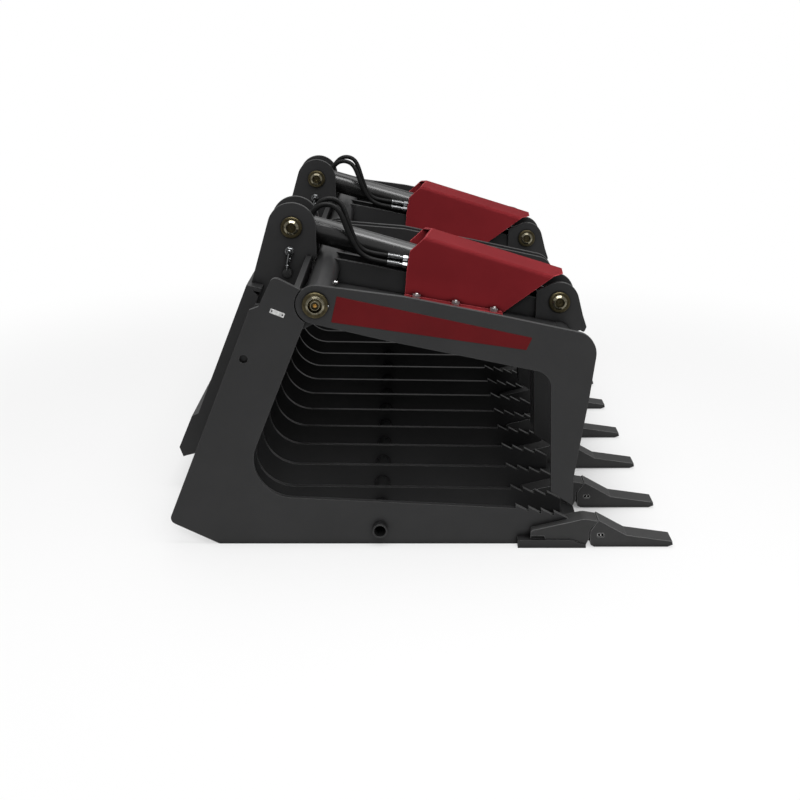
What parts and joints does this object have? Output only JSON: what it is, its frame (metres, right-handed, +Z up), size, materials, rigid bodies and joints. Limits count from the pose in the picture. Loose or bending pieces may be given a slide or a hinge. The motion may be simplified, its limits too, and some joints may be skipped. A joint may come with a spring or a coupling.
{
  "type": "skeleton grapple",
  "caption": "Loader-mounted skeleton grapple: a bar-floored bucket with pinned teeth and hinged lids, closed by hydraulic cylinders.",
  "frame": {"origin": "middle of the floor print, on the floor: halfway between the tooth tips and the rear lip, on the centre plane", "axes": "+X forward, the tooth side; +Y to the machine's left, along the hinge line; +Z up"},
  "size_m": [1.174, 1.8796, 0.7293],
  "materials": {
    "black_paint": "satin black powder coat",
    "red_paint": "dark red satin powder coat",
    "yellow_zinc": "yellow zinc plate",
    "chrome": "hard chrome, ground",
    "hose_rubber": "matt black hose cover",
    "plated_fitting": "bright zinc plate",
    "tooth_steel": "dark grey painted casting"
  },
  "bodies": {
    "frame": {"side_plate_right": "black_paint", "side_plate_left": "black_paint", "cross_plate": "black_paint", "bottom_tube": "black_paint", "rear_rod": "black_paint", "cutting_edge": "black_paint", "tooth_adapters": "tooth_steel", "teeth": "tooth_steel", "tooth_pins": "tooth_steel", "attach_plate": "black_paint", "tower_right": "black_paint", "tower_left": "black_paint", "hinge_lugs": "black_paint", "hinge_pins": "yellow_zinc", "base_pins": "yellow_zinc", "hose_ports": "plated_fitting", "tine_01": "black_paint", "tine_02": "black_paint", "tine_03": "black_paint", "tine_04": "black_paint", "tine_05": "black_paint", "tine_06": "black_paint", "tine_07": "black_paint", "tine_08": "black_paint", "tine_09": "black_paint", "tine_10": "black_paint", "tine_11": "black_paint"},
    "lid_right": {"lid_outer_plate_right": "black_paint", "lid_inner_plate_right": "black_paint", "lid_rib_outer_right": "black_paint", "lid_rib_inner_right": "black_paint", "torque_tube_right": "black_paint", "front_tube_right": "black_paint", "lid_skin_right": "black_paint", "cylinder_guard_right": "red_paint", "guard_bolts_right": "plated_fitting", "rod_pin_right": "yellow_zinc", "hinge_bushings_right": "plated_fitting"},
    "lid_left": {"lid_outer_plate_left": "black_paint", "lid_inner_plate_left": "black_paint", "lid_rib_outer_left": "black_paint", "lid_rib_inner_left": "black_paint", "torque_tube_left": "black_paint", "front_tube_left": "black_paint", "lid_skin_left": "black_paint", "cylinder_guard_left": "red_paint", "guard_bolts_left": "plated_fitting", "rod_pin_left": "yellow_zinc", "hinge_bushings_left": "plated_fitting"},
    "rod_right": {"cylinder_rod_right": "chrome"},
    "rod_left": {"cylinder_rod_left": "chrome"},
    "barrel_right": {"cylinder_barrel_right": "black_paint", "hose_a_right": "hose_rubber", "hose_b_right": "hose_rubber", "hose_ferrules_right": "plated_fitting"},
    "barrel_left": {"cylinder_barrel_left": "black_paint", "hose_a_left": "hose_rubber", "hose_b_left": "hose_rubber", "hose_ferrules_left": "plated_fitting"}
  },
  "joints": [
    {"name": "lid_hinge_right", "type": "hinge", "parent": "frame", "child": "lid_right", "pos_m": [-0.213, -0.4572, 0.557], "axis": [0, -1, 0], "range_deg": [0, 70]},
    {"name": "rod_pivot_right", "type": "hinge", "parent": "lid_right", "child": "rod_right", "pos_m": [0.3613, -0.4572, 0.475], "axis": [0, -1, 0], "range_deg": [-6.7, 0]},
    {"name": "cylinder_slide_right", "type": "slide", "parent": "rod_right", "child": "barrel_right", "axis": [0.9625, 0, -0.2713], "range_m": [0, 0.136]},
    {"name": "lid_hinge_left", "type": "hinge", "parent": "frame", "child": "lid_left", "pos_m": [-0.213, 0.4572, 0.557], "axis": [0, -1, 0], "range_deg": [0, 70]},
    {"name": "rod_pivot_left", "type": "hinge", "parent": "lid_left", "child": "rod_left", "pos_m": [0.3613, 0.4572, 0.475], "axis": [0, -1, 0], "range_deg": [-6.7, 0]},
    {"name": "cylinder_slide_left", "type": "slide", "parent": "rod_left", "child": "barrel_left", "axis": [0.9625, 0, -0.2713], "range_m": [0, 0.136]}
  ],
  "couplings": [
    {"joint": "rod_pivot_right", "follows": "lid_hinge_right", "ratio": -0.0941},
    {"joint": "cylinder_slide_right", "follows": "lid_hinge_right", "m_per_rad": 0.11022},
    {"joint": "rod_pivot_left", "follows": "lid_hinge_left", "ratio": -0.0941},
    {"joint": "cylinder_slide_left", "follows": "lid_hinge_left", "m_per_rad": 0.11022}
  ]
}
